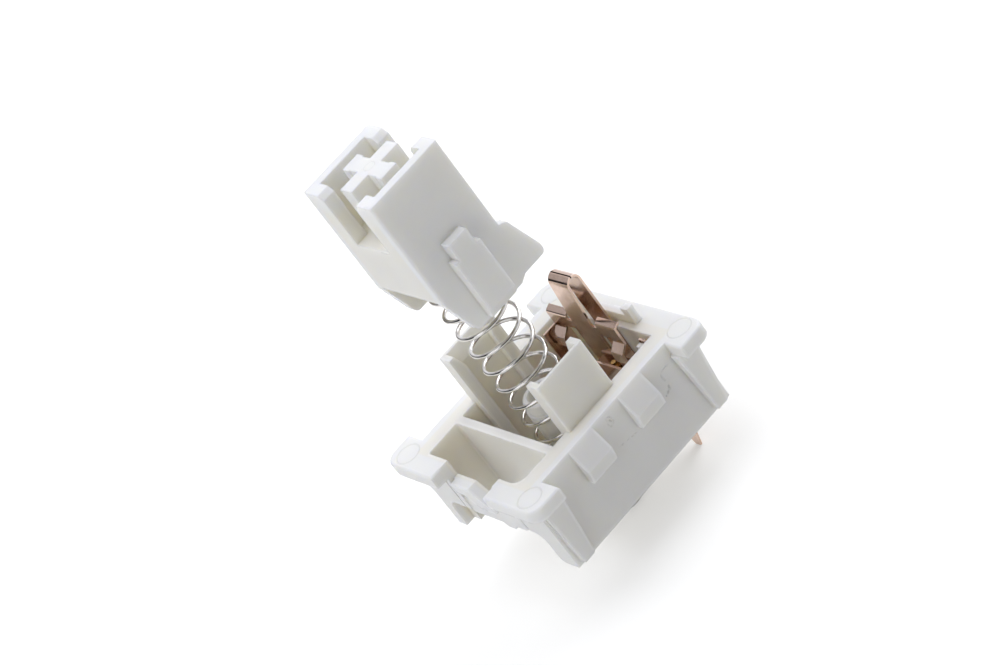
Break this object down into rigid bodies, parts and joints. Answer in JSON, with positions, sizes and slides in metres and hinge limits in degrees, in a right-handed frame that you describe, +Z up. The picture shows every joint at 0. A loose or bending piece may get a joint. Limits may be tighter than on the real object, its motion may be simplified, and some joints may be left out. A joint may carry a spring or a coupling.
{
  "type": "mechanical keyboard switch",
  "caption": "Opened keyboard switch: housing with board pins and spring post, a cross-topped stem lifted on a long coil spring, and bent sheet contacts.",
  "frame": {"origin": "on the key axis where the housing's underside meets the circuit board, at the root of the centre pole", "axes": "+Z up the stroke of the key, out of the board; +Y towards the contacts; +X to the side with the fixed contact's pin"},
  "size_m": [0.0156, 0.0156, 0.0278],
  "materials": {
    "housing_plastic": "fine moulded texture",
    "stem_plastic": "smooth moulded",
    "spring_steel": "bright drawn wire",
    "contact_bronze": "rolled sheet",
    "tip_gold": "plated"
  },
  "bodies": {
    "base": {"housing": "housing_plastic", "moving_contact": "contact_bronze", "fixed_contact": "contact_bronze", "moving_contact_tip": "tip_gold", "fixed_contact_tip": "tip_gold", "return_spring": "spring_steel"},
    "plunger": {"stem": "stem_plastic"}
  },
  "joints": [
    {"name": "stem_slide", "type": "slide", "parent": "base", "child": "plunger", "axis": [0, 0, 1], "range_m": [-0.0133, 0], "stiffness_N_per_m": 45, "deforming": ["return_spring", "moving_contact"]}
  ]
}
